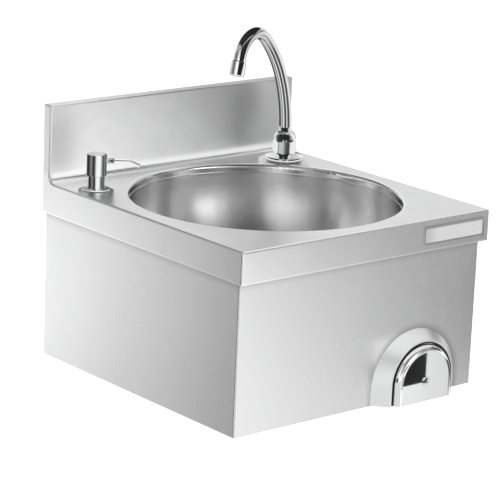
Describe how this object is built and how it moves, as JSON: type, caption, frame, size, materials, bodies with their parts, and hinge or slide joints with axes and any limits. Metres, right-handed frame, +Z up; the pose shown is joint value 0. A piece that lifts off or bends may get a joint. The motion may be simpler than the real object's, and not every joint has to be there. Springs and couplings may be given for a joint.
{
  "type": "stainless steel hand wash sink",
  "caption": "Wall-hung stainless steel hand wash sink with round bowl, splashback, swivel swan-neck spout, knee-operated valve and deck soap pump.",
  "frame": {"origin": "centre of the four wall screw holes, on the wall plane", "axes": "+X to the right seen from the front, +Y into the wall, +Z up"},
  "size_m": [0.4, 0.4158, 0.421],
  "materials": {
    "steel_brushed": "brushed stainless sheet, vertical grain on the panels",
    "steel_bowl": "satin stainless bowl, polished round its upper edge",
    "steel_plain": "mill-finish stainless",
    "plate_satin": "plain satin plate, no marking",
    "steel_polished": "polished stainless",
    "steel_turned": "turned stainless",
    "chrome": "bright chrome plating",
    "brass": "raw machined brass",
    "rubber_black": "black rubber",
    "spring_steel": "drawn spring wire",
    "plastic_white": "moulded white plastic",
    "plastic_clear": "translucent blow-moulded plastic",
    "braid": "woven stainless wire braid over rubber"
  },
  "bodies": {
    "sink": {"bowl": "steel_bowl", "casing": "steel_brushed", "dip_tube": "plastic_white", "front_plate": "plate_satin", "hose_ferrules": "steel_turned", "hose_nut_lower": "brass", "hose_nut_upper": "brass", "knee_collar": "steel_polished", "non_return_valves": "plastic_white", "outlet_elbow": "brass", "pump_cylinder": "plastic_white", "pump_spring": "spring_steel", "rear_rail": "steel_plain", "return_spring": "spring_steel", "soap_bottle": "plastic_clear", "soap_flange": "chrome", "soap_gasket": "rubber_black", "soap_locknut": "brass", "soap_sleeve": "chrome", "spout_cap": "chrome", "spout_flange": "chrome", "spout_gasket": "rubber_black", "spout_locknut": "brass", "spout_shank": "chrome", "spout_washer": "steel_plain", "stem_seal": "rubber_black", "strainer_bar": "steel_plain", "strainer_plate": "steel_polished", "strainer_screw": "steel_polished", "supply_hose": "braid", "tube_seal": "rubber_black", "valve_body": "brass", "valve_bonnet": "brass", "valve_bracket": "steel_plain", "waste_body": "steel_polished", "waste_gasket_lower": "rubber_black", "waste_gasket_upper": "rubber_black", "waste_locknut": "plastic_white", "worktop": "steel_brushed"},
    "spout": {"spout_tube": "chrome", "tube_collar": "plastic_white", "aerator_housing": "chrome", "aerator_washer": "rubber_black", "aerator_insert": "plastic_white"},
    "knee": {"knee_pad": "steel_polished", "pad_hub": "steel_turned", "pad_screw": "steel_polished", "valve_stem": "steel_turned", "valve_poppet": "brass", "poppet_seal": "rubber_black"},
    "soap_plunger": {"pump_stem": "steel_turned"},
    "soap_cap": {"soap_head": "chrome", "soap_nozzle": "chrome"}
  },
  "joints": [
    {"name": "spout_swivel", "type": "hinge", "parent": "sink", "child": "spout", "pos_m": [0.152, -0.058, 0.14], "axis": [0, 0, 1], "range_deg": [-35, 175]},
    {"name": "knee_push", "type": "slide", "parent": "sink", "child": "knee", "axis": [0, 1, 0], "range_m": [0, 0.008], "stiffness_N_per_m": 900, "springref_m": -0.01, "deforming": ["return_spring"]},
    {"name": "soap_press", "type": "slide", "parent": "sink", "child": "soap_plunger", "axis": [0, 0, -1], "range_m": [0, 0.014], "stiffness_N_per_m": 400, "springref_m": -0.02, "deforming": ["pump_spring"]},
    {"name": "soap_swivel", "type": "hinge", "parent": "soap_plunger", "child": "soap_cap", "pos_m": [-0.168, -0.07, 0.16], "axis": [0, 0, 1], "continuous": true}
  ]
}
